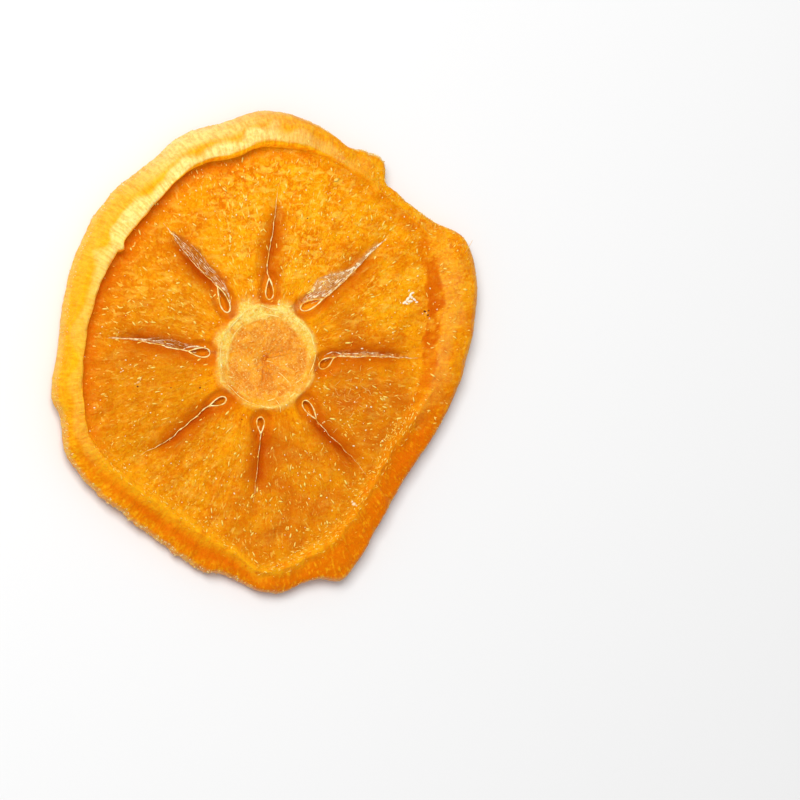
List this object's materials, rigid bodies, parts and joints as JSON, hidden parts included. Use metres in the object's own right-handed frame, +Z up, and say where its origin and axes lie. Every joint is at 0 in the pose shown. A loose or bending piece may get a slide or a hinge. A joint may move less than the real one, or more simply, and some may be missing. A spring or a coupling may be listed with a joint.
{
  "type": "dried persimmon slice",
  "caption": "Round slice of dried persimmon lying flat: sunken orange flesh with a pale rim raised along one side, a ringed core and a star of empty seed pockets with creases.",
  "frame": {"origin": "middle of the slice's box at the surface that it lies on", "axes": "+Z up through the slice's thickness, +Y along its longest width, +X across it"},
  "size_m": [0.0584, 0.063, 0.0061],
  "materials": {
    "dried_flesh": "dry, slightly translucent fruit flesh, satin with a faint sugary glisten"
  },
  "bodies": {
    "root": {"persimmon_slice": "dried_flesh"}
  },
  "joints": []
}
